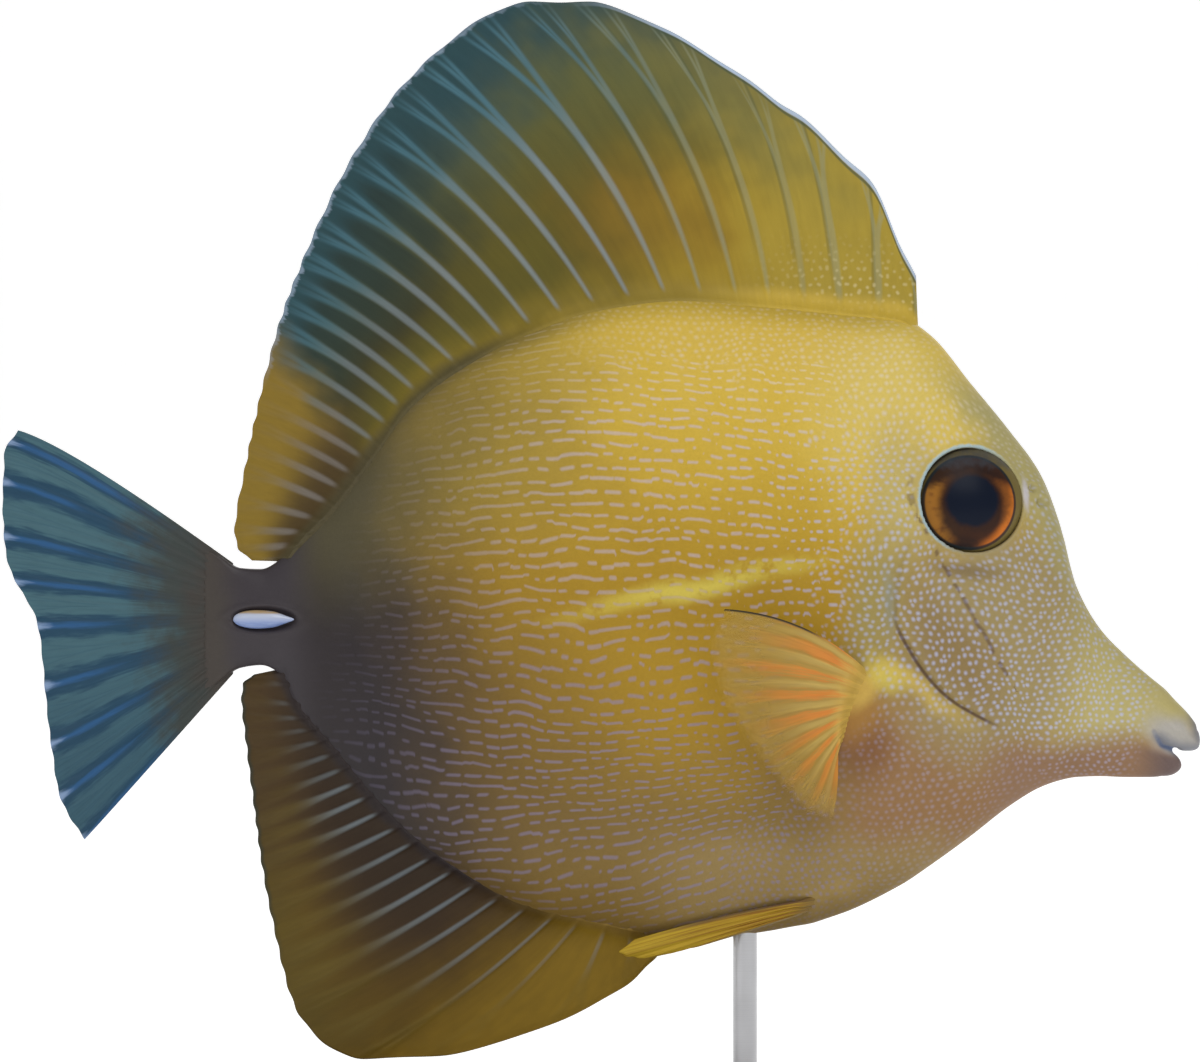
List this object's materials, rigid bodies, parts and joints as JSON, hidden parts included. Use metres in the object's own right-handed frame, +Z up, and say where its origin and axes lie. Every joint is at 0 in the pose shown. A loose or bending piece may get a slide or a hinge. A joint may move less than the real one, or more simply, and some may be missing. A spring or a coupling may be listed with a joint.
{
  "type": "scopas tang",
  "caption": "Still, life-size model of a scopas tang, a deep, thin reef surgeonfish with tall back and belly fins, held on a plain stand.",
  "frame": {"origin": "centre of the stand's underside, under the middle of the fish's length, on the surface that it stands on", "axes": "+X towards the snout, +Y towards the fish's left side, +Z up along the fins of the back"},
  "size_m": [0.12, 0.054, 0.1199],
  "materials": {
    "skin": "satin",
    "dorsal_and_anal_membrane": "satin",
    "tail_membrane": "satin",
    "bright_membrane": "satin",
    "eye": "polished",
    "tail_spine": "satin",
    "stand_base": "satin",
    "stand_metal": "brushed"
  },
  "bodies": {
    "root": {"head": "skin", "torso": "skin", "tail_peduncle": "skin", "dorsal_fin": "dorsal_and_anal_membrane", "anal_fin": "dorsal_and_anal_membrane", "caudal_fin": "tail_membrane", "pectoral_fin_left": "bright_membrane", "pectoral_fin_right": "bright_membrane", "pelvic_fin_left": "bright_membrane", "pelvic_fin_right": "bright_membrane", "eye_left": "eye", "eye_right": "eye", "tail_spine_left": "tail_spine", "tail_spine_right": "tail_spine", "stand_base": "stand_base", "stand_rod": "stand_metal", "stand_collar": "stand_metal"}
  },
  "joints": []
}
